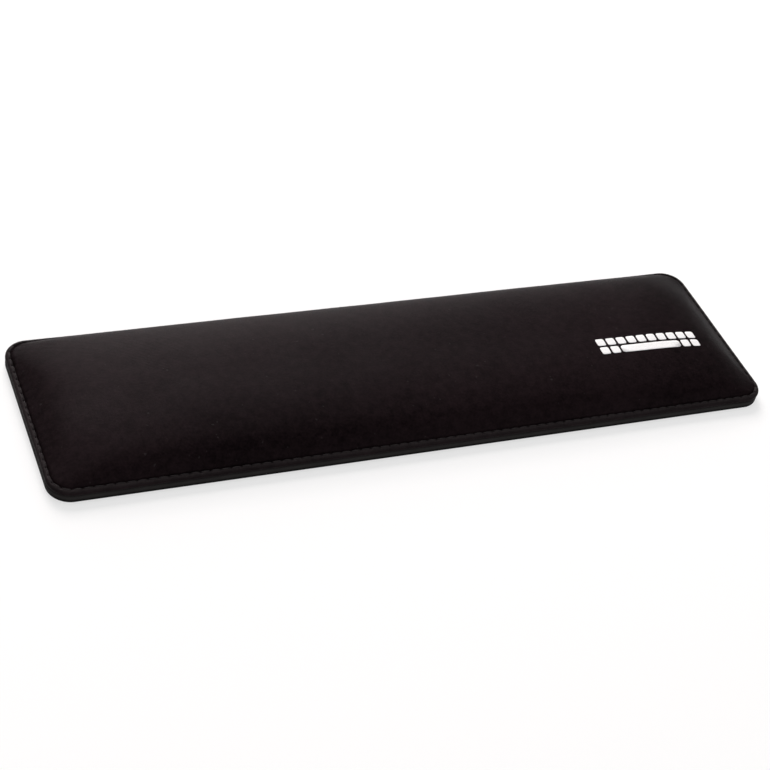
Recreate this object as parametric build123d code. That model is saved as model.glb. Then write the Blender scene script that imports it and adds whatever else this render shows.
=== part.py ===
"""Slim padded wrist rest for a tenkeyless keyboard.

A crowned foam pillow in a stretch-fabric cover lies on a thin board. The cover runs out over the
board as a narrow flange, turns round its edge and is hemmed underneath, with one topstitch row at
the pillow's foot. A film bonds this padded half to a solid rubber base.

Millimetres. X runs along the rest, +Y away from the sitter, +Z up. The origin is the centre of the
base's underside.
"""
from build123d import *
import os

# Outline of the padded half, seen from above
LENGTH = 360.0
DEPTH = 100.0
CORNER_R = 11.0

# Rubber base
BASE_THICK = 4.2
BASE_INSET = 0.2                # the base stands this far inside the padded half
BASE_EDGE_R = 0.4

# Bonding film, seen from the side as a dark groove
FILM_THICK = 0.2
FILM_INSET = 2.6

# Cover, board and hem
SKIN = 0.7                      # stretch fabric with its laminated backing
BOARD_THICK = 1.0
HEM_WIDTH = 12.0
HEM_CORNER_R = 2.0
FLANGE_TOP_R = 1.5              # rounded over the top, squarer underneath
FLANGE_LOW_R = 0.7

# Pillow
FOOT_INSET = 2.5                # from the outline to the crease at the pillow's foot
SHOULDER = 20.0                 # from the crease to where the pillow is level
PILLOW_RISE = 12.2
SHOULDER_CORNER_R = 12.0
PILLOW_RINGS = 6

# Topstitch
STITCH_INSET = 1.8
STITCH_PITCH = 4.73
STITCH_RUN = 4.0                # visible thread between two needle holes
THREAD_R = 0.3

# Printed mark: two rows of plain keys
MARK_CENTRE = (127.5, -13.0)
MARK_WIDTH = 58.0
KEY = 4.6
KEY_GAP = 1.2
KEY_R = 0.9
INK_THICK = 0.1

# Levels, worked out from the thicknesses
FILM_Z = BASE_THICK
HEM_Z = FILM_Z + FILM_THICK
BOARD_Z = HEM_Z + SKIN
FLANGE_TOP_Z = BOARD_Z + BOARD_THICK + SKIN
CROWN_Z = FLANGE_TOP_Z + PILLOW_RISE


def outline(inset, corner_r=None):
    """The plan outline moved in by inset; the corners share one centre unless a radius is given."""
    radius = CORNER_R - inset if corner_r is None else corner_r
    return RectangleRounded(LENGTH - 2 * inset, DEPTH - 2 * inset, radius)


def slab(inset, z, thick, corner_r=None):
    """A flat sheet with the outline moved in by inset, from level z up."""
    return Pos(0, 0, z) * extrude(outline(inset, corner_r), amount=thick)


def pillow(inset, foot_z):
    """A pillow whose side is a parabola: steep at its foot and level at the shoulder."""
    rings = []
    for i in range(PILLOW_RINGS):
        t = i / (PILLOW_RINGS - 1)
        ring_inset = inset + SHOULDER * t
        corner_r = (1 - t) * (CORNER_R - inset) + t * SHOULDER_CORNER_R
        ring_z = foot_z + PILLOW_RISE * (1 - (1 - t) ** 2)
        rings.append(Pos(0, 0, ring_z) * outline(ring_inset, corner_r))
    return loft(rings, ruled=True)


def rubber_base():
    """Solid rubber sheet with its two rims slightly rounded."""
    sheet = slab(BASE_INSET, 0, BASE_THICK)
    rims = sheet.faces().sort_by(Axis.Z)[0].edges() + sheet.faces().sort_by(Axis.Z)[-1].edges()
    return fillet(rims, BASE_EDGE_R)


def hem_recess():
    """The space that the turned hem leaves open under the middle of the board."""
    return slab(SKIN + HEM_WIDTH, HEM_Z, SKIN, HEM_CORNER_R)


def bonding_film():
    """Thin film over the whole joint, thicker where it fills the space inside the hem."""
    return slab(FILM_INSET, FILM_Z, FILM_THICK) + hem_recess()


def stiffener_board():
    """Flat board that carries the flange and keeps the rest straight."""
    return slab(SKIN, BOARD_Z, BOARD_THICK)


def foam_core():
    """One block of moulded foam on the board, one cover thickness inside the pillow's skin."""
    return pillow(FOOT_INSET + SKIN, BOARD_Z + BOARD_THICK)


def top_cover():
    """The cover: pillow skin, flange, wrapped edge and hem in one piece, closed over foam and board."""
    flange = slab(0, HEM_Z, FLANGE_TOP_Z - HEM_Z)
    flange = fillet(flange.faces().sort_by(Axis.Z)[-1].edges(), FLANGE_TOP_R)
    flange = fillet(flange.faces().sort_by(Axis.Z)[0].edges(), FLANGE_LOW_R)
    body = flange + pillow(FOOT_INSET, FLANGE_TOP_Z)
    return body - foam_core() - stiffener_board() - hem_recess()


def stitch_row(stitch, z):
    """Copies of one stitch, laid end to end round the flange, as many on each quarter of the way."""
    path = Pos(0, 0, z) * outline(STITCH_INSET).wire()
    count = 4 * round(path.length / STITCH_PITCH / 4)
    stitches = []
    for i in range(count):
        along = (i + 0.5) / count
        place = Plane(origin=path.position_at(along), x_dir=path.tangent_at(along), z_dir=(0, 0, 1))
        stitches.append(place * stitch)
    return Compound(children=stitches)


def needle_thread():
    """Upper thread: half-round runs that stand on the flange at the pillow's foot."""
    half_round = Plane.YZ * (Circle(THREAD_R) & Pos(0, THREAD_R) * Rectangle(4 * THREAD_R, 2 * THREAD_R))
    run = extrude(half_round, amount=STITCH_RUN / 2, both=True)
    return stitch_row(run, FLANGE_TOP_Z)


def bobbin_thread():
    """Lower thread: runs pressed flat between the hem and the base."""
    run = extrude(SlotOverall(STITCH_RUN, 2 * THREAD_R), amount=FILM_THICK)
    return stitch_row(run, FILM_Z)


def printed_mark():
    """White ink on the pillow: a row of square keys above a row with one long bar."""
    pitch = KEY + KEY_GAP
    count = round((MARK_WIDTH + KEY_GAP) / pitch)
    left = -(count * pitch - KEY_GAP) / 2
    row_y = pitch / 2
    keys = [(left + KEY / 2 + i * pitch, row_y, KEY) for i in range(count)]
    ends = [0, 1, count - 2, count - 1]
    keys += [(left + KEY / 2 + i * pitch, -row_y, KEY) for i in ends]
    keys.append((0.0, -row_y, (count - 4) * pitch - KEY_GAP))
    centre = Pos(MARK_CENTRE[0], MARK_CENTRE[1], CROWN_Z)
    shapes = [Pos(x, y) * RectangleRounded(width, KEY, KEY_R) for x, y, width in keys]
    return Compound(children=[centre * extrude(shape, amount=INK_THICK) for shape in shapes])


NODES = {
    "rubber_base": rubber_base,
    "bonding_film": bonding_film,
    "stiffener_board": stiffener_board,
    "foam_core": foam_core,
    "top_cover": top_cover,
    "needle_thread": needle_thread,
    "bobbin_thread": bobbin_thread,
    "printed_mark": printed_mark,
}

os.makedirs("parts", exist_ok=True)
for name, make in NODES.items():
    export_step(make(), f"parts/{name}.step")
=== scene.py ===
import math

import bmesh
import bpy
import numpy as np
from mathutils import Matrix, Vector


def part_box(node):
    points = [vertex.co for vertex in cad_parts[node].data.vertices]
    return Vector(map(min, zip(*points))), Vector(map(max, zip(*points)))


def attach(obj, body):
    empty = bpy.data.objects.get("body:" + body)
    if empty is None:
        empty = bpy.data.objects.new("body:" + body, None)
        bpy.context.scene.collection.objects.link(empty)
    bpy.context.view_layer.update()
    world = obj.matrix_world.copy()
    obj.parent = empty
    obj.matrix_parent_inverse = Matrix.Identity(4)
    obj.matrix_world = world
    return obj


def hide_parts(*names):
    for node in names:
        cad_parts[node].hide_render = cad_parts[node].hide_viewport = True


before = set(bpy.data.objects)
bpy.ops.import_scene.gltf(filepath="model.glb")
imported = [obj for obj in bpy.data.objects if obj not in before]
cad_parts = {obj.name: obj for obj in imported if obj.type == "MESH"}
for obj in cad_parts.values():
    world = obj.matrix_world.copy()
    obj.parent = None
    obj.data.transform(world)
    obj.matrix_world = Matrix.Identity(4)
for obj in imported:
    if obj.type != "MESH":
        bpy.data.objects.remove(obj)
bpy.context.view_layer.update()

MM = 0.001

# ---- Levels and outlines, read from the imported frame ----

COVER_LOW, COVER_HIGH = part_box("top_cover")
BASE_LOW, BASE_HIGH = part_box("rubber_base")
BOARD_LOW, BOARD_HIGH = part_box("stiffener_board")
THREAD_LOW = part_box("needle_thread")[0]
MARK_LOW, MARK_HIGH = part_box("printed_mark")

HALF_LENGTH = COVER_HIGH.x
HALF_DEPTH = COVER_HIGH.y
SKIN = BOARD_LOW.z - COVER_LOW.z
FLANGE_TOP = THREAD_LOW.z
CROWN = COVER_HIGH.z
BASE_INSET = HALF_LENGTH - BASE_HIGH.x

# ---- The maker's own sizes, in metres ----

CORNER_R = 11.0 * MM            # plan corner of the flange
FLANGE_TOP_R = 1.5 * MM         # the fabric's turn round the board, over the top
FLANGE_LOW_R = 0.7 * MM         # and underneath, where it is pressed flat
FOOT_INSET = 2.5 * MM           # outline to crease
HEM_WIDTH = 12.0 * MM
HEM_CORNER_R = 2.0 * MM
CREASE_DEPTH = 0.55 * MM
CREASE_WIDTH = 0.28 * MM
FLANGE_ARC_POINTS = 9
FLANGE_STRIP_POINTS = 8
FOAM_GAP = 0.1 * MM             # between the foam and the cover's lining
FOAM_COLUMN_STEP = 3            # the foam has one column for so many of the cover's

STITCH_INSET = 1.8 * MM
STITCH_PITCH = 4.73 * MM
THREAD_R = 0.24 * MM
THREAD_PLACES = np.linspace(0.06, 0.94, 8)      # the rings of one visible run, as shares of a stitch
THREAD_SIDES = 6
THREAD_SLANT = 0.22 * MM
THREAD_RISE = 0.12 * MM         # a run's middle stands this far over the flange
THREAD_DIP = 0.5 * MM           # and its ends dip this far below that
THREAD_TAPER = 0.25
THREAD_SQUASH = 0.85
STITCH_SINK = 0.40 * MM         # how far a needle hole pulls the flange down
STITCH_PUFF = 0.25 * MM         # how far the flange puffs up between two holes
STITCH_REACH = 0.75 * MM
PUFF_OFFSET = 0.2 * MM          # how far in from the stitches the flange puffs up most
PUFF_SPREAD = 0.18 * MM         # how far a puff leans in over the crease
PUFF_VARIETY = 0.35             # how much one stitch's puff differs from another's
VARIETY_STEP = 2.4              # radians of that variety from one stitch to the next
HOLE_REACH = 0.7 * MM
HOLE_DRAW = 0.06 * MM           # how far a needle hole draws the wrapped edge in
EDGE_REACH = 0.8 * MM           # how much of the flange counts as its edge, or as its top
COLUMN_PLACES = np.array([0.0, 0.09, 0.24, 0.5, 0.76, 0.91])    # the columns along one stitch
PUCKER = 0.10 * MM              # how far the pillow's foot swells between two holes
PUCKER_REACH = 2.2 * MM
PUCKER_LEAN = 0.6               # how much of a pucker goes outwards as well as up

PILLOW_RINGS = 26
LINING_RINGS = 12
RING_CROWDING = 1.8
CROWN_PART = 0.59               # the soft crown's share of the pillow's section
SHOULDER_PART = 0.41            # and the firm shoulder's
CORNER_GROWTH = 1.2             # how fast the pillow's level lines grow rounder, going in
SWELL = 0.9 * MM                # most that the cloth pass may push the cover out
FIRM_SIDES = 16                 # how steeply the pillow stands up from its long sides
FIRM_ENDS = 7                   # and from its short ends
CORNER_PULL = 4.0 * MM          # how far in from the foot the seam holds the corners down
CLOTH_PRESSURE = 4.0
CLOTH_FRAMES = 20
SMOOTHING_PASSES = 4
SMOOTHING_STITCHES = 13
BLEND_PASSES = 3
UNEVEN_REACH = 6 * MM           # how far in from the foot the foam's own waves begin to show

GRIP_DEPTH = 0.3 * MM
GRIP_PITCH = 6.0 * MM
GRIP_MARGIN = 3 * MM
GRIP_STEP = 1.25 * MM           # between two rings of the underside
BASE_COLUMNS = 800
BASE_ARC_POINTS = 8
BASE_TOP_POINTS = 4
BASE_LOW_R = 1.3 * MM
BASE_TOP_R = 0.9 * MM
BASE_MIDDLE_R = 2.0 * MM        # smallest corner of the rings inside the base's faces
INK_THICK = 0.06 * MM
INK_LIFT = 0.02 * MM            # keeps the ink's lower face off the knit
INK_DROP = 5 * MM               # the print starts this far over the crown and is laid down
KEY_GAP_SHARE = 0.2             # gap between two printed keys, as a share of their pitch
KEY_CORNER_SHARE = 0.2          # a printed key's corner radius, as a share of its side
KEY_COLUMNS = 48
KEY_RINGS = 5


# ---- Outlines and meshes ----

def outline(share, half_x, half_y, radius):
    """Points and outward normals on a rounded rectangle.

    share is how much of its whole length has been walked, anticlockwise from the middle of the right
    side. Each quarter is folded onto the first one, where the walk is half the short side, then an
    arc, then half the long side: x = (half_x - r) + r cos(a) - left, y = up + r sin(a)."""
    share, half_x, half_y, radius = np.broadcast_arrays(share, half_x, half_y, radius)
    turn = np.mod(share, 1.0) * 4
    quarter = np.minimum(turn.astype(int), 3)
    side, arc, long_side = half_y - radius, radius * math.pi / 2, half_x - radius
    length = side + arc + long_side
    walk = (turn - quarter) * length
    walk = np.where(quarter % 2 == 1, length - walk, walk)
    up = np.minimum(walk, side)
    angle = np.clip((walk - side) / np.maximum(radius, 1e-9), 0, math.pi / 2)
    left = np.clip(walk - side - arc, 0, long_side)
    sign_x = np.where((quarter == 1) | (quarter == 2), -1.0, 1.0)
    sign_y = np.where(quarter >= 2, -1.0, 1.0)
    point = np.stack([sign_x * (half_x - radius + radius * np.cos(angle) - left),
                      sign_y * (up + radius * np.sin(angle))], axis=-1)
    normal = np.stack([sign_x * np.cos(angle), sign_y * np.sin(angle)], axis=-1)
    return point, normal


def walked(points):
    """The share of a closed row of points' length that lies before each of them, by adding chords."""
    steps = np.linalg.norm(np.roll(points, -1, axis=0) - points, axis=1)
    return (np.cumsum(steps) - steps) / steps.sum()


def strip_faces(rings, columns):
    """Quads between neighbouring rings of a grid that closes on itself along its columns."""
    ring, column = np.meshgrid(np.arange(rings - 1), np.arange(columns), indexing="ij")
    here = ring * columns + column
    beside = ring * columns + (column + 1) % columns
    return np.stack([here, beside, beside + columns, here + columns], axis=-1).reshape(-1, 4)


def mesh_piece(name, points, faces, close=True, cloth=None, painted_light=None):
    """A smooth mesh object from arrays of points and faces; close merges points that coincide.

    cloth gives each point its place on the flat cloth, which becomes the piece's UV map, and the last
    argument gives each point its share of painted light, from 0 to 1: a lighter copy of the fabric that
    stands for light falling on the flange's top."""
    mesh = bpy.data.meshes.new(name)
    mesh.from_pydata(points.reshape(-1, 3).tolist(), [], faces.tolist())
    if cloth is not None:
        layer = mesh.uv_layers.new(name="cloth")
        layer.data.foreach_set("uv", cloth.reshape(-1, 2)[faces.ravel()].ravel())
    if painted_light is not None:
        mesh.attributes.new("painted_light", "FLOAT", "POINT").data.foreach_set("value", painted_light.ravel())
    if close:
        work = bmesh.new()
        work.from_mesh(mesh)
        bmesh.ops.remove_doubles(work, verts=work.verts, dist=1e-7)
        work.to_mesh(mesh)
        work.free()
    mesh.shade_smooth()
    piece = bpy.data.objects.new(name, mesh)
    bpy.context.scene.collection.objects.link(piece)
    return piece


def finish_piece(piece, material, replaces):
    """Gives a new piece its material, its CAD body and the CAD nodes it stands for."""
    piece.data.materials.clear()
    piece.data.materials.append(material)
    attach(piece, "root")
    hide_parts(*replaces)
    return piece


# ---- The stitch line, which sets where the cover's columns stand ----

def stitch_columns():
    """Where the columns of the cover stand, as shares of the stitch line's length.

    Each stitch has six columns, closer together at its needle holes, and the count is the same on
    each quarter of the way, so the columns mirror about both middle lines."""
    half_x, half_y = HALF_LENGTH - STITCH_INSET, HALF_DEPTH - STITCH_INSET
    radius = CORNER_R - STITCH_INSET
    length = 4 * (half_x + half_y - 2 * radius) + 2 * math.pi * radius
    count = 4 * round(length / STITCH_PITCH / 4)
    share = (np.arange(count)[:, None] + COLUMN_PLACES[None, :]) / count
    return share.ravel(), np.tile(COLUMN_PLACES, count), count


COLUMN_SHARE, COLUMN_PHASE, STITCH_COUNT = stitch_columns()
COLUMNS = len(COLUMN_SHARE)
STITCH_POINT, STITCH_NORMAL = outline(COLUMN_SHARE, HALF_LENGTH - STITCH_INSET,
                                      HALF_DEPTH - STITCH_INSET, CORNER_R - STITCH_INSET)

# At each column: how near a needle hole it is, and how much the flange puffs up there.
HOLE = np.exp(-(np.minimum(COLUMN_PHASE, 1 - COLUMN_PHASE) * STITCH_PITCH / HOLE_REACH) ** 2)
STITCH_NUMBER = np.arange(COLUMNS) // len(COLUMN_PLACES)
PUFF = np.sin(math.pi * COLUMN_PHASE) ** 2 * (1 + PUFF_VARIETY * np.sin(STITCH_NUMBER * VARIETY_STEP))


def beside_stitch(inset):
    """A ring at that inset from the outline, each point straight across from its stitch column."""
    return STITCH_POINT + STITCH_NORMAL * (STITCH_INSET - inset)


CREASE_SHARE = walked(beside_stitch(FOOT_INSET))


# ---- The pillow ----

def side_profile(inward, firmness):
    """The pillow's section at a distance from its foot, as a share of its full height.

    With t the share of the way to the middle line, the crown is a cubic and the firm shoulder a
    higher power: 1 - crown part * (1 - t)^3 - shoulder part * (1 - t)^firmness."""
    left = 1 - np.clip(inward / (HALF_DEPTH - FOOT_INSET), 0, 1)
    return 1 - CROWN_PART * left ** 3 - SHOULDER_PART * left ** firmness


def pull(inward):
    """How much of the seam's pull is gone at a distance from the pillow's foot: 1 - exp(-s / reach)."""
    return 1 - np.exp(-np.maximum(inward, 1e-7) / CORNER_PULL)


def pillow_height(plan, inward, foot_inset):
    """The pillow's height over its foot, as a share of the crown's, at plan points of its rings.

    Across and along, the section is divided by the seam's pull; their product has no ridge that
    runs in from a corner. The pull at the ring's own distance then brings every foot to zero."""
    across = HALF_DEPTH - foot_inset - np.abs(plan[..., 1])
    along = HALF_LENGTH - foot_inset - np.abs(plan[..., 0])
    sides = side_profile(np.maximum(across, 1e-7), FIRM_SIDES) / pull(across)
    ends = side_profile(np.maximum(along, 1e-7), FIRM_ENDS) / pull(along)
    return sides * ends * pull(inward) * (inward > 0)


def pillow_share(rings):
    """Shares of the way in for that many rings, crowded at the foot: (j / rings)^crowding."""
    return (np.arange(1, rings + 1) / rings) ** RING_CROWDING


def pillow_rings(foot_inset, t):
    """Plan rings of the pillow, from near its foot in to its middle line, where both halves meet.

    The corner radius grows as the rings go in, until each ring is two half circles and two lines:
    r = the smaller of r0 + growth * s and half the ring's depth."""
    reach = HALF_DEPTH - foot_inset
    inward = (reach * t)[:, None]
    radius = np.minimum(CORNER_R - FOOT_INSET + CORNER_GROWTH * inward, reach - inward)
    return outline(CREASE_SHARE[None, :], HALF_LENGTH - foot_inset - inward, reach - inward, radius)[0]


def foam_unevenness(x, y):
    """Slow waves of a few hundredths of a millimetre that moulded foam leaves under a tight cover."""
    return (0.05 * MM * np.sin(x * 61 + 1.3) * np.cos(y * 83 + 0.4)
            + 0.04 * MM * np.sin(x * 137 - y * 95 + 2.1)
            + 0.03 * MM * np.cos(x * 211 + y * 173))


def cloth_swell(t, height):
    """How far the cloth pass moves the cover, as an array over rings and columns.

    A sheet with one column a stitch is pinned along the pillow's foot and blown up by pressure with
    no gravity. Each move d is capped softly, cap * tanh(|d| / cap), and its wrinkles are spread out
    by running means along and across the rings, so only the taut fullness of a stuffed cover stays.
    At the middle line, where the sheet is open, the move is carried on from the two rings before it
    with no slope left, and the front and back halves get the mean of their moves, so they meet."""
    step = COLUMNS // STITCH_COUNT
    t = np.concatenate([[0.0], t])
    plan = np.concatenate([beside_stitch(FOOT_INSET)[None], pillow_rings(FOOT_INSET, t[1:])])
    plan = plan[:, ::step]
    inward = ((HALF_DEPTH - FOOT_INSET) * t)[:, None]
    level = FLANGE_TOP + height * pillow_height(plan, inward, FOOT_INSET)
    start = np.concatenate([plan, level[..., None]], axis=-1)
    sheet = mesh_piece("cloth_pass", start, strip_faces(len(t), STITCH_COUNT), close=False)
    foot = sheet.vertex_groups.new(name="foot")
    foot.add(list(range(STITCH_COUNT)), 1.0, "REPLACE")
    cloth = sheet.modifiers.new("cloth", "CLOTH")
    cloth.settings.quality = 6
    cloth.settings.mass = 0.25
    cloth.settings.tension_stiffness = 20
    cloth.settings.compression_stiffness = 20
    cloth.settings.shear_stiffness = 8
    cloth.settings.bending_stiffness = 0.5
    cloth.settings.vertex_group_mass = "foot"
    cloth.settings.use_pressure = True
    cloth.settings.uniform_pressure_force = CLOTH_PRESSURE
    cloth.settings.effector_weights.gravity = 0
    scene = bpy.context.scene
    for number in range(1, CLOTH_FRAMES + 1):
        scene.frame_set(number)
    blown = sheet.evaluated_get(bpy.context.evaluated_depsgraph_get()).to_mesh()
    end = np.empty(len(blown.vertices) * 3)
    blown.vertices.foreach_get("co", end)
    scene.frame_set(1)
    bpy.data.objects.remove(sheet)
    move = end.reshape(start.shape) - start
    far = np.linalg.norm(move, axis=-1, keepdims=True)
    move *= SWELL * np.tanh(far / SWELL) / np.maximum(far, 1e-12)
    for _ in range(SMOOTHING_PASSES):
        move = running_mean(move, SMOOTHING_STITCHES)
        move[1:-1] = (move[:-2] + move[1:-1] + move[2:]) / 3
        move[-1] = (4 * move[-2] - move[-3]) / 3
    move[0] = 0
    fine = np.repeat(move, step, axis=1)
    for _ in range(BLEND_PASSES):
        fine = running_mean(fine, step)
    fine = (fine + np.roll(fine[:, ::-1], 1, axis=1) * np.array([1, -1, 1])) / 2
    fine[-1, :, 1] = 0
    return fine[1:]


def running_mean(values, width):
    """The mean over that many neighbouring columns, which close on themselves."""
    return sum(np.roll(values, i - width // 2, axis=1) for i in range(width)) / width


def pillow_top():
    """The pillow's outer surface as rings: crowned plan rings, the cloth pass and the stitch puckers.

    z = flange top + height * share - crease * exp(-s / width), and near the foot each point moves
    out by pucker * exp(-s / reach) halfway between two needle holes and not at all at a hole."""
    t = pillow_share(PILLOW_RINGS)
    height = CROWN - FLANGE_TOP - SWELL
    plan = pillow_rings(FOOT_INSET, t)
    inward = ((HALF_DEPTH - FOOT_INSET) * t)[:, None]
    z = FLANGE_TOP + height * pillow_height(plan, inward, FOOT_INSET)
    z = z - CREASE_DEPTH * np.exp(-inward / CREASE_WIDTH)
    points = np.concatenate([plan, z[..., None]], axis=-1)
    points += cloth_swell(t, height)
    swell = PUCKER * np.exp(-inward / PUCKER_REACH) * (1 - HOLE)[None, :]
    points[..., :2] += STITCH_NORMAL[None] * swell[..., None] * PUCKER_LEAN
    points[..., 2] += swell
    fade = 1 - np.exp(-inward / UNEVEN_REACH)
    points[..., 2] += fade * foam_unevenness(points[..., 0], points[..., 1])
    return points


# ---- The cover ----

def flange_profile():
    """The flange's section as insets and levels, from the hem's inner edge round to the crease.

    A small quarter circle under the board, a short upright edge, a large quarter circle over the top,
    and a flat strip that falls into the crease by depth * exp(-distance / width)."""
    quarter = np.linspace(0, math.pi / 2, FLANGE_ARC_POINTS)
    low = FLANGE_LOW_R * (1 - np.sin(quarter)), COVER_LOW.z + FLANGE_LOW_R * (1 - np.cos(quarter))
    high = FLANGE_TOP_R * (1 - np.cos(quarter)), FLANGE_TOP - FLANGE_TOP_R * (1 - np.sin(quarter))
    top = np.linspace(FLANGE_TOP_R, FOOT_INSET, FLANGE_STRIP_POINTS)[1:]
    top_z = FLANGE_TOP - CREASE_DEPTH * np.exp(-(FOOT_INSET - top) / CREASE_WIDTH)
    inset = np.concatenate([low[0], high[0], top])
    return inset, np.concatenate([low[1], high[1], top_z])


def flange_rings():
    """The flange's outer surface, from the bottom of its wrapped edge to the crease.

    Each ring is the section carried round the stitch line. On the flange's top, near the stitches,
    it puffs up halfway between two needle holes and is pulled down at each, by
    (height * puff - sink * hole) * exp(-((inset - stitch - offset) / reach)^2). Each puff also leans
    in over the crease, and the wrapped edge wavers by up to about a tenth of a millimetre."""
    inset, level = flange_profile()
    plan = np.stack([beside_stitch(i) for i in inset])
    near = np.exp(-((inset - STITCH_INSET - PUFF_OFFSET) / STITCH_REACH) ** 2)
    near = near * (level > FLANGE_TOP - EDGE_REACH)
    lift = STITCH_PUFF * PUFF - STITCH_SINK * HOLE
    z = level[:, None] + near[:, None] * lift[None, :]
    edge = np.exp(-(inset / EDGE_REACH) ** 2)[:, None]
    x, y = plan[..., 0], plan[..., 1]
    waver = 0.07 * MM * np.sin(170 * x + 90 * y) + 0.05 * MM * np.sin(47 * x - 61 * y)
    plan = plan + STITCH_NORMAL[None] * (edge * (waver - HOLE_DRAW * HOLE[None, :]))[..., None]
    plan = plan - STITCH_NORMAL[None] * (near[:, None] * PUFF_SPREAD * PUFF[None, :])[..., None]
    return np.concatenate([plan, z[..., None]], axis=-1)


def flat_ring(inset, radius, z):
    """One level ring with a corner radius of its own."""
    plan = outline(CREASE_SHARE, HALF_LENGTH - inset, HALF_DEPTH - inset, radius)[0]
    return np.concatenate([plan, np.full((COLUMNS, 1), z)], axis=1)[None]


def lining_rings():
    """The cover's inner wall, from its middle line out over the foam and down round the board."""
    t = pillow_share(LINING_RINGS)[::-1]
    plan = pillow_rings(FOOT_INSET + SKIN, t)
    inward = ((HALF_DEPTH - FOOT_INSET - SKIN) * t)[:, None]
    z = BOARD_HIGH.z + (CROWN - FLANGE_TOP - SWELL) * pillow_height(plan, inward, FOOT_INSET + SKIN)
    dome = np.concatenate([plan, z[..., None]], axis=-1)
    inset, radius = SKIN, CORNER_R - SKIN
    return [dome, flat_ring(FOOT_INSET + SKIN, CORNER_R - FOOT_INSET, BOARD_HIGH.z),
            flat_ring(inset, radius, BOARD_HIGH.z), flat_ring(inset, radius, BOARD_LOW.z),
            flat_ring(SKIN + HEM_WIDTH, HEM_CORNER_R, BOARD_LOW.z)]


def flat_cloth(outer, rings):
    """Each point's place on the cloth before it was sewn.

    On the outside the cloth is rolled out from the pillow's middle line: the place there, plus the
    length of the section walked from it, in the section's own direction. Inside it is the plan."""
    steps = np.linalg.norm(np.diff(outer, axis=0), axis=-1)
    walk = np.concatenate([np.cumsum(steps[::-1], axis=0)[::-1], np.zeros((1, COLUMNS))])
    middle = outer[-1, :, :2]
    away = outer[0, :, :2] - middle
    away /= np.linalg.norm(away, axis=-1, keepdims=True)
    outside = middle[None] + away[None] * walk[..., None]
    inside = np.concatenate(rings)[..., :2]
    return np.concatenate([inside, outside])


def make_cover(material):
    """The stretch cover as one closed skin: lining, hem, wrapped flange, crease and pillow.

    The flange gets painted light by the cube of its level's share of the way from the hem to its top, so
    its top is painted lighter and its wrapped edge darker down to the groove."""
    inner = lining_rings() + [flat_ring(SKIN + HEM_WIDTH, HEM_CORNER_R, COVER_LOW.z)]
    outer = np.concatenate([flange_rings(), pillow_top()])
    points = np.concatenate(inner + [outer])
    painted_light = np.zeros(points.shape[:2])
    first = sum(len(rings) for rings in inner)
    # Painted light: the flange's rows are lighter towards its top and fall to painted shade towards the
    # groove below.
    level = flange_profile()[1][:-1]
    share = np.clip((level - COVER_LOW.z) / (FLANGE_TOP - COVER_LOW.z), 0, 1)
    painted_light[first:first + len(level)] = (share ** 3)[:, None]
    cover = mesh_piece("stretch_cover", points, strip_faces(len(points), COLUMNS),
                       cloth=flat_cloth(outer, inner), painted_light=painted_light)
    return finish_piece(cover, material, replaces=["top_cover"])


def make_foam(material):
    """The foam block: the pillow's own form, a skin's thickness in, closed flat underneath."""
    t = pillow_share(LINING_RINGS)
    inset = FOOT_INSET + SKIN + FOAM_GAP
    plan = pillow_rings(inset, t)
    inward = ((HALF_DEPTH - inset) * t)[:, None]
    height = CROWN - FLANGE_TOP - SWELL - FOAM_GAP
    z = BOARD_HIGH.z + height * pillow_height(plan, inward, inset)
    dome = np.concatenate([plan, z[..., None]], axis=-1)
    under = dome[::-1].copy()
    under[..., 2] = BOARD_HIGH.z
    foot = flat_ring(inset, CORNER_R - FOOT_INSET, BOARD_HIGH.z)
    points = np.concatenate([under, foot, dome])[:, ::FOAM_COLUMN_STEP]
    foam = mesh_piece("foam_block", points, strip_faces(len(points), points.shape[1]))
    return finish_piece(foam, material, replaces=["foam_core"])


# ---- The topstitch ----

def make_topstitch(material):
    """The upper thread: one low arch of round thread from each needle hole to the next.

    Along a run the thread stands at rise - dip * |2u - 1|^5 over the flange and crosses the stitch
    line at a slight slant; each ring of the tube is a squashed circle that tapers to the holes."""
    along = THREAD_PLACES
    around = np.linspace(0, 2 * math.pi, THREAD_SIDES, endpoint=False)
    share = (np.arange(STITCH_COUNT)[:, None] + along[None, :]) / STITCH_COUNT
    half_x, half_y = HALF_LENGTH - STITCH_INSET, HALF_DEPTH - STITCH_INSET
    plan, normal = outline(share, half_x, half_y, CORNER_R - STITCH_INSET)
    slant = THREAD_SLANT * (along - 0.5)
    plan = plan + normal * slant[None, :, None]
    ends = np.abs(2 * along - 1) ** 5
    z = FLANGE_TOP + THREAD_RISE - THREAD_DIP * ends
    radius = THREAD_R * (1 - THREAD_TAPER * ends)
    height = np.broadcast_to(z[None, :, None], plan.shape[:2] + (1,))
    centre = np.concatenate([plan, height], axis=-1)
    out = np.concatenate([normal, np.zeros(normal.shape[:2] + (1,))], axis=-1)
    up = np.array([0.0, 0.0, 1.0])
    ring = (out[:, :, None, :] * np.cos(around)[None, None, :, None]
            + up * THREAD_SQUASH * np.sin(around)[None, None, :, None])
    tube = centre[:, :, None, :] + ring * radius[None, :, None, None]
    count, rows, sides = tube.shape[:3]
    quads = strip_faces(rows, sides)[:, ::-1]
    first = (np.arange(count) * rows * sides)[:, None]
    faces = (quads[None] + first[:, None]).reshape(-1, 4).tolist()
    last = first + rows * sides - 1
    caps = np.concatenate([first + np.arange(sides)[None], last - np.arange(sides)[None]])
    mesh = bpy.data.meshes.new("topstitch")
    mesh.from_pydata(tube.reshape(-1, 3).tolist(), [], faces + caps.tolist())
    mesh.shade_smooth()
    topstitch = bpy.data.objects.new("topstitch", mesh)
    bpy.context.scene.collection.objects.link(topstitch)
    return finish_piece(topstitch, material, replaces=["needle_thread"])


# ---- The rubber base ----

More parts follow.
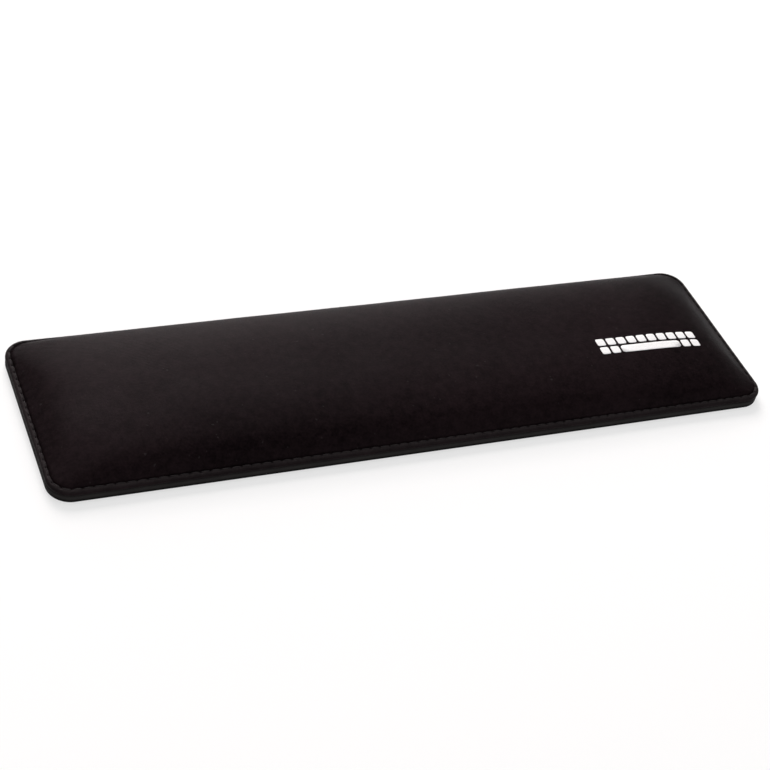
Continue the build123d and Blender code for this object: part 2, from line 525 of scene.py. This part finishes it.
def grip(x, y):
    """Depth of the underside's grip at a point: a lattice of shallow diamonds between flat ridges.

    depth * max(0, sin(k (x + y)) * sin(k (x - y))), zero within a margin of the rim."""
    k = math.pi / GRIP_PITCH
    wave = np.sin(k * (x + y)) * np.sin(k * (x - y))
    rim = np.minimum(BASE_HIGH.x - np.abs(x), BASE_HIGH.y - np.abs(y))
    return GRIP_DEPTH * np.clip(wave, 0, 1) * np.clip((rim - GRIP_MARGIN) / MM, 0, 1)


def base_profile():
    """The base's section as insets and levels, from the middle of its underside round to its top.

    The side is two quarter circles with a short upright between them: a larger one at the desk, so
    the sheet looks soft, and a smaller one under the flange."""
    quarter = np.linspace(0, math.pi / 2, BASE_ARC_POINTS)
    low = BASE_LOW_R * (1 - np.sin(quarter)), BASE_LOW.z + BASE_LOW_R * (1 - np.cos(quarter))
    high = BASE_TOP_R * (1 - np.cos(quarter)), BASE_HIGH.z - BASE_TOP_R * (1 - np.sin(quarter))
    under = np.arange(BASE_HIGH.y, BASE_LOW_R, -GRIP_STEP)
    top = np.linspace(BASE_TOP_R, BASE_HIGH.y, BASE_TOP_POINTS)[1:]
    inset = np.concatenate([under, low[0], high[0], top])
    z = np.concatenate([np.full(len(under), BASE_LOW.z), low[1], high[1],
                        np.full(len(top), BASE_HIGH.z)])
    return inset[:, None], z[:, None]


def make_base(material):
    """The rubber base: its section carried round the outline, with the grip pressed in underneath."""
    share = np.arange(BASE_COLUMNS) / BASE_COLUMNS
    half_x, half_y = BASE_HIGH.x, BASE_HIGH.y
    corner = CORNER_R - BASE_INSET
    inset, z = base_profile()
    radius = np.minimum(np.maximum(corner - inset, BASE_MIDDLE_R), half_y - inset)
    plan = outline(share[None, :], half_x - inset, half_y - inset, radius)[0]
    level = np.broadcast_to(z, plan.shape[:2])
    level = level + (z == BASE_LOW.z) * grip(plan[..., 0], plan[..., 1])
    points = np.concatenate([plan, level[..., None]], axis=-1)
    base = mesh_piece("grip_base", points, strip_faces(len(points), BASE_COLUMNS))
    return finish_piece(base, material, replaces=["rubber_base"])


# ---- The print ----

def printed_key(centre_x, centre_y, width, depth, radius):
    """A rounded rectangle as a grid of points: rings about its middle, on a level plane."""
    share = np.arange(KEY_COLUMNS) / KEY_COLUMNS
    shrink = np.linspace(1, 0, KEY_RINGS)[:, None]
    plan = outline(share[None, :], width / 2, depth / 2, radius)[0] * shrink[..., None]
    plan = plan + np.array([centre_x, centre_y])
    return np.concatenate([plan, np.full(plan.shape[:2] + (1,), CROWN + INK_DROP)], axis=-1)


def make_mark(material, cover):
    """The white print: a row of square keys over a row with one long bar, laid onto the pillow."""
    centre, size = (MARK_LOW + MARK_HIGH) / 2, MARK_HIGH - MARK_LOW
    pitch = size.y / (2 - KEY_GAP_SHARE)
    key = pitch * (1 - KEY_GAP_SHARE)
    count = round((size.x + pitch - key) / pitch)
    column = (np.arange(count) - (count - 1) / 2) * pitch
    keys = [(x, pitch / 2, key) for x in column]
    keys += [(x, -pitch / 2, key) for x in column[[0, 1, -2, -1]]]
    keys.append((0.0, -pitch / 2, (count - 4) * pitch - (pitch - key)))
    corner = KEY_CORNER_SHARE * key
    grids = [printed_key(centre.x + x, centre.y + y, width, key, corner) for x, y, width in keys]
    rings, columns = grids[0].shape[:2]
    faces = [strip_faces(rings, columns) + i * rings * columns for i in range(len(grids))]
    mark = mesh_piece("key_print", np.concatenate(grids), np.concatenate(faces))
    lay = mark.modifiers.new("lay", "SHRINKWRAP")
    lay.target = cover
    lay.wrap_method = "PROJECT"
    lay.use_project_z = True
    lay.use_negative_direction = True
    lay.use_positive_direction = False
    lay.offset = INK_LIFT
    ink = mark.modifiers.new("ink", "SOLIDIFY")
    ink.thickness = INK_THICK
    ink.offset = 1.0
    bpy.context.view_layer.update()
    laid = bpy.data.meshes.new_from_object(mark.evaluated_get(bpy.context.evaluated_depsgraph_get()))
    mark.modifiers.clear()
    mark.data = laid
    return finish_piece(mark, material, replaces=["printed_mark"])


# ---- Materials ----

WALE_PITCH = 0.42 * MM          # between two upright rows of the knit
COURSE_PITCH = 0.36 * MM        # between two rows across it
PLY_PITCH = 0.5 * MM
LINT_LIMIT = 0.76               # only noise above this is lint
LINT_STRENGTH = 0.10
LINT_COLOUR = (0.10, 0.095, 0.095, 1.0)
FABRIC_DARK = (0.0030, 0.0019, 0.0022)
FABRIC_LIGHT = (0.0108, 0.0066, 0.0076)
# Painted light: a lighter copy of the fabric for the flange, mixed in most at its top, where it stands
# for light falling there.
PAINTED_LIT_FLANGE_DARK = (0.0160, 0.0132, 0.0137)
PAINTED_LIT_FLANGE_LIGHT = (0.0250, 0.0208, 0.0216)
FOOT_LOW = 1.3 * MM             # painted shade makes the rubber darkest below this level
FOOT_HIGH = 2.7 * MM            # and has its own colour above this one
FOOT_PAINTED_SHADE = (0.0025, 0.0023, 0.0023, 1.0)


class Recipe:
    """A material's node tree, with short ways to add and join its nodes."""

    def __init__(self, name):
        self.material = bpy.data.materials.new(name)
        self.material.use_nodes = True
        self.tree = self.material.node_tree
        self.shader = self.tree.nodes["Principled BSDF"]

    def set(self, **values):
        """Sets the shader's own sockets; an underscore in a name stands for a space."""
        for name, value in values.items():
            self.shader.inputs[name.replace("_", " ")].default_value = value
        return self

    def node(self, kind, inputs=None, **settings):
        """Adds a node, sets it, and joins or fills its inputs, which are named or numbered."""
        made = self.tree.nodes.new(kind)
        for name, value in settings.items():
            setattr(made, name, value)
        for key, value in (inputs or {}).items():
            self.feed(made.inputs[key], value)
        return made

    def feed(self, socket, value):
        """Joins an output to a socket, or sets the socket to a plain value."""
        if isinstance(value, bpy.types.NodeSocket):
            self.tree.links.new(value, socket)
        else:
            socket.default_value = value

    def math(self, operation, a, b=0.0):
        """The result of one Math node."""
        return self.node("ShaderNodeMath", {0: a, 1: b}, operation=operation).outputs[0]

    def noise(self, place, scale, detail=2.0, roughness=0.5):
        """A noise value between 0 and 1 at that many cells a metre."""
        made = self.node("ShaderNodeTexNoise", {"Vector": place, "Scale": scale, "Detail": detail,
                                                "Roughness": roughness})
        return made.outputs["Fac"]

    def ramp(self, value, *stops):
        """A colour ramp through (place, colour) stops."""
        made = self.node("ShaderNodeValToRGB", {0: value})
        points = made.color_ramp.elements
        while len(points) < len(stops):
            points.new(0.5)
        for point, (place, colour) in zip(points, stops):
            point.position = place
            point.color = (*colour, 1.0)
        return made.outputs["Color"]

    def mix(self, share, first, second):
        """The first colour, turned into the second by a share from 0 to 1."""
        made = self.node("ShaderNodeMix", data_type="RGBA", clamp_factor=True)
        self.feed(made.inputs["Factor"], share)
        self.feed(made.inputs[6], first)
        self.feed(made.inputs[7], second)
        return made.outputs[2]

    def bump(self, height, distance, strength=1.0, below=None):
        """A bumped normal, laid over the normal below it."""
        inputs = {"Height": height, "Distance": distance, "Strength": strength}
        if below is not None:
            inputs["Normal"] = below
        return self.node("ShaderNodeBump", inputs).outputs["Normal"]

    def object_place(self):
        """The place on the piece, in its own coordinates."""
        return self.node("ShaderNodeTexCoord").outputs["Object"]

    def colour(self, value):
        """Gives the shader its colour."""
        self.feed(self.shader.inputs["Base Color"], value)

    def normal(self, value):
        """Gives the shader its bumped normal."""
        self.feed(self.shader.inputs["Normal"], value)

    def roughness(self, least, value, span):
        """Gives the shader the roughness least + value * span."""
        rough = self.math("ADD", least, self.math("MULTIPLY", value, span))
        self.feed(self.shader.inputs["Roughness"], rough)

    def ripple(self, value, pitch):
        """A wave between -1 and 1 that comes back after each pitch."""
        return self.math("SINE", self.math("MULTIPLY", value, 2 * math.pi / pitch))


def stretch_fabric():
    """Black tricot: fine upright wales, yarn mottle and a little lint, with painted light on the flange,
    lighter towards its top.
    """
    recipe = Recipe("stretch_fabric")
    recipe.set(Specular_IOR_Level=0.021, Specular_Tint=(1.0, 0.74, 0.82, 1.0))
    cloth = recipe.node("ShaderNodeUVMap", uv_map="cloth").outputs["UV"]
    place = recipe.object_place()
    axis = recipe.node("ShaderNodeSeparateXYZ", {0: cloth})
    wales = recipe.ripple(axis.outputs["X"], WALE_PITCH)
    courses = recipe.ripple(axis.outputs["Y"], COURSE_PITCH)
    knit = recipe.math("ADD", wales, recipe.math("MULTIPLY", courses, 0.6))
    yarn = recipe.noise(place, 900.0, 3.0)
    slub = recipe.noise(place, 260.0, 2.0)
    slow = recipe.noise(place, 14.0, 2.0)
    broad = recipe.math("ADD", recipe.math("MULTIPLY", slub, 0.35), recipe.math("MULTIPLY", slow, 0.3))
    mottle = recipe.math("ADD", recipe.math("MULTIPLY", yarn, 0.35), broad)
    pillow = recipe.ramp(mottle, (0.37, FABRIC_DARK), (0.63, FABRIC_LIGHT))
    # Painted light: a lighter copy of the fabric for the flange, mixed in most at its top.
    flange = recipe.ramp(mottle, (0.35, PAINTED_LIT_FLANGE_DARK), (0.65, PAINTED_LIT_FLANGE_LIGHT))
    painted_light = recipe.node("ShaderNodeAttribute", attribute_name="painted_light").outputs["Fac"]
    cover = recipe.mix(painted_light, pillow, flange)
    lint = recipe.math("GREATER_THAN", recipe.noise(place, 420.0, 1.0), LINT_LIMIT)
    recipe.colour(recipe.mix(recipe.math("MULTIPLY", lint, LINT_STRENGTH), cover, LINT_COLOUR))
    recipe.roughness(0.38, slow, 0.08)
    recipe.normal(recipe.bump(yarn, 0.10 * MM, 0.5, recipe.bump(knit, 0.03 * MM, 0.5)))
    return recipe.material


def moulded_rubber():
    """Black natural rubber: matt, with a fine mould grain, dusty traces and painted shade that darkens
    its foot at the desk.
    """
    recipe = Recipe("moulded_rubber").set(Specular_IOR_Level=0.03)
    place = recipe.object_place()
    grain = recipe.noise(place, 1600.0, 3.0)
    dust = recipe.noise(place, 60.0, 4.0, 0.65)
    colour = recipe.ramp(dust, (0.35, (0.0160, 0.0146, 0.0143)), (0.75, (0.0240, 0.0220, 0.0216)))
    height = recipe.node("ShaderNodeSeparateXYZ", {0: place}).outputs["Z"]
    # Painted shade: the rubber darkens towards the desk, where contact shade falls under the base's lower
    # rounding.
    foot = recipe.node("ShaderNodeMapRange", {"Value": height, "From Min": FOOT_LOW,
                                              "From Max": FOOT_HIGH, "To Min": 1.0, "To Max": 0.0})
    recipe.colour(recipe.mix(foot.outputs[0], colour, FOOT_PAINTED_SHADE))
    recipe.roughness(0.5, dust, 0.3)
    recipe.normal(recipe.bump(grain, 0.04 * MM, 0.6))
    return recipe.material


def sewing_thread():
    """Black polyester thread with its plies, painted lighter on their crests and darker in the grooves
    between them, slightly shinier than the cloth.
    """
    recipe = Recipe("sewing_thread")
    recipe.set(Specular_IOR_Level=0.06)
    place = recipe.object_place()
    axis = recipe.node("ShaderNodeSeparateXYZ", {0: place})
    level = recipe.math("ADD", axis.outputs["X"], axis.outputs["Y"])
    plies = recipe.ripple(recipe.math("ADD", level, axis.outputs["Z"]), PLY_PITCH)
    shade = recipe.math("ADD", 0.5, recipe.math("MULTIPLY", plies, 0.5))
    # Painted shade: the colour is darker in the grooves between plies and lighter on their crests.
    recipe.colour(recipe.ramp(shade, (0.0, (0.014, 0.0120, 0.0124)), (1.0, (0.034, 0.0295, 0.0305))))
    recipe.roughness(0.5, shade, 0.1)
    recipe.normal(recipe.bump(plies, 0.05 * MM, 0.6))
    return recipe.material


def white_ink():
    """White transfer ink: matt, a touch uneven where it bridges the knit."""
    recipe = Recipe("white_ink").set(Specular_IOR_Level=0.4)
    place = recipe.object_place()
    grain = recipe.noise(place, 1800.0, 2.0)
    recipe.colour(recipe.ramp(grain, (0.25, (0.80, 0.80, 0.80)), (0.6, (0.93, 0.93, 0.93))))
    recipe.roughness(0.5, grain, 0.2)
    recipe.normal(recipe.bump(grain, 0.02 * MM, 0.4))
    return recipe.material


def bonding_glue():
    """Dark glue film with faint flow marks."""
    recipe = Recipe("bonding_glue").set(Specular_IOR_Level=0.5)
    flow = recipe.noise(recipe.object_place(), 240.0, 4.0)
    recipe.colour(recipe.ramp(flow, (0.3, (0.010, 0.010, 0.010)), (0.7, (0.020, 0.019, 0.018))))
    recipe.roughness(0.35, flow, 0.3)
    return recipe.material


def pressed_board():
    """Black pressed board with short fibres."""
    recipe = Recipe("pressed_board").set(Specular_IOR_Level=0.3)
    fibre = recipe.noise(recipe.object_place(), 700.0, 5.0, 0.7)
    recipe.colour(recipe.ramp(fibre, (0.35, (0.020, 0.019, 0.018)), (0.7, (0.060, 0.058, 0.055))))
    recipe.roughness(0.7, fibre, 0.2)
    recipe.normal(recipe.bump(fibre, 0.1 * MM, 0.5))
    return recipe.material


def soft_foam():
    """Charcoal foam with open cells, each cell's hollow darkened by painted shade."""
    recipe = Recipe("soft_foam").set(Specular_IOR_Level=0.2, Roughness=0.9)
    cells = recipe.node("ShaderNodeTexVoronoi", {"Vector": recipe.object_place(), "Scale": 900.0})
    depth = cells.outputs["Distance"]
    # Painted shade: darker towards each cell's middle, where the bump makes its hollow.
    recipe.colour(recipe.ramp(depth, (0.1, (0.10, 0.10, 0.105)), (0.6, (0.30, 0.30, 0.31))))
    recipe.normal(recipe.bump(depth, 0.3 * MM, 0.7))
    return recipe.material


# ---- Studio ----

FLOOR_SIZE = 8.0
SOFT_LIGHT_SIZE = 1.2
WARM = (1.0, 0.94, 0.93)
WHITE = (1.0, 1.0, 1.0)
BEHIND_HIGH = 39.5              # watts
BEHIND_LOW = 20.0
OVERHEAD = 8.7
ROOM = (("Z", 1, 0.2), ("Y", 1, 0.3), ("Y", -1, 1.14), ("X", -1, 0.12), ("X", 1, 0.15))
BACKDROP = 0.85

CAMERA_AZIMUTH = -29.87
CAMERA_ELEVATION = 40.76
CAMERA_ROLL = 13.43
CAMERA_DISTANCE = 0.8665
CAMERA_SIDESTEP = (-5.67 * MM, -2.17 * MM)
CAMERA_LENS = 84.41


def make_floor():
    """A plain white table that glows faintly, so the rest's shadow on it stays pale."""
    bpy.ops.mesh.primitive_plane_add(size=FLOOR_SIZE, location=(0, 0, BASE_LOW.z))
    floor = bpy.context.object
    floor.name = "floor"
    recipe = Recipe("white_floor").set(Specular_IOR_Level=0.0, Roughness=0.9)
    recipe.set(Base_Color=(0.40, 0.40, 0.40, 1.0), Emission_Color=(1.0, 1.0, 1.0, 1.0))
    recipe.set(Emission_Strength=0.60)
    floor.data.materials.append(recipe.material)


def soft_light(name, place, power, colour):
    """A square soft light that faces the origin."""
    data = bpy.data.lights.new(name, "AREA")
    data.shape = "SQUARE"
    data.size = SOFT_LIGHT_SIZE
    data.energy = power
    data.color = colour
    light = bpy.data.objects.new(name, data)
    place = Vector(place)
    turn = (-place).to_track_quat("-Z", "Y").to_matrix().to_4x4()
    light.matrix_world = Matrix.Translation(place) @ turn
    bpy.context.scene.collection.objects.link(light)


def make_lights():
    """Broad lights behind the rest, high and low, and one overhead, in a room with unequal walls.

    The room's strength in a direction is the sum of its sides' strengths, each times the square of
    the direction's share towards that side. Seen directly, it is never darker than a pale backdrop."""
    soft_light("behind_high", (0.0, 1.6, 1.5), BEHIND_HIGH, WARM)
    soft_light("behind_low", (0.4, 1.9, 0.6), BEHIND_LOW, WARM)
    soft_light("overhead", (0.0, 0.1, 2.2), OVERHEAD, WHITE)
    world = bpy.data.worlds.new("room")
    world.use_nodes = True
    tree = world.node_tree
    way = tree.nodes.new("ShaderNodeTexCoord")
    parts = tree.nodes.new("ShaderNodeSeparateXYZ")
    tree.links.new(way.outputs["Generated"], parts.inputs[0])
    total = None
    for axis, sign, strength in ROOM:
        turned = add_math(tree, "MULTIPLY", parts.outputs[axis], sign)
        share = add_math(tree, "POWER", add_math(tree, "MAXIMUM", turned, 0.0), 2.0)
        side = add_math(tree, "MULTIPLY", share, strength)
        total = side if total is None else add_math(tree, "ADD", total, side)
    direct = tree.nodes.new("ShaderNodeLightPath").outputs["Is Camera Ray"]
    seen = add_math(tree, "MULTIPLY", direct, BACKDROP)
    total = add_math(tree, "MAXIMUM", total, seen)
    background = tree.nodes["Background"]
    background.inputs["Color"].default_value = (1.0, 1.0, 1.0, 1.0)
    tree.links.new(total, background.inputs["Strength"])
    bpy.context.scene.world = world
    bpy.context.scene.view_settings.view_transform = "Standard"


def add_math(tree, operation, a, b):
    """The result of one Math node in a tree, from an output and a number or another output."""
    made = tree.nodes.new("ShaderNodeMath")
    made.operation = operation
    for socket, value in zip(made.inputs, (a, b)):
        if isinstance(value, bpy.types.NodeSocket):
            tree.links.new(value, socket)
        else:
            socket.default_value = value
    return made.outputs[0]


def make_camera():
    """The camera stands back from the base's middle, steps aside, and is rolled about its own line."""
    azimuth = math.radians(CAMERA_AZIMUTH)
    elevation = math.radians(CAMERA_ELEVATION)
    roll = math.radians(CAMERA_ROLL)
    back = Vector((math.sin(azimuth) * math.cos(elevation),
                   -math.cos(azimuth) * math.cos(elevation), math.sin(elevation)))
    level = Vector((math.cos(azimuth), math.sin(azimuth), 0))
    upright = back.cross(level)
    right = math.cos(roll) * level + math.sin(roll) * upright
    up = math.cos(roll) * upright - math.sin(roll) * level
    data = bpy.data.cameras.new("camera")
    data.lens = CAMERA_LENS
    data.sensor_width = 36
    data.clip_start = 0.01
    camera = bpy.data.objects.new("camera", data)
    place = back * CAMERA_DISTANCE + right * CAMERA_SIDESTEP[0] + up * CAMERA_SIDESTEP[1]
    camera.matrix_world = Matrix.Translation(place) @ Matrix((right, up, back)).transposed().to_4x4()
    bpy.context.scene.collection.objects.link(camera)
    bpy.context.scene.camera = camera


# ---- The rest, put together ----

def dress_node(node, material):
    """Gives a CAD node that stays in view its finished material."""
    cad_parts[node].data.materials.clear()
    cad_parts[node].data.materials.append(material)


make_camera()
make_lights()
make_floor()
thread = sewing_thread()
cover = make_cover(stretch_fabric())
make_foam(soft_foam())
make_topstitch(thread)
make_base(moulded_rubber())
make_mark(white_ink(), cover)
dress_node("stiffener_board", pressed_board())
dress_node("bonding_film", bonding_glue())
dress_node("bobbin_thread", thread)
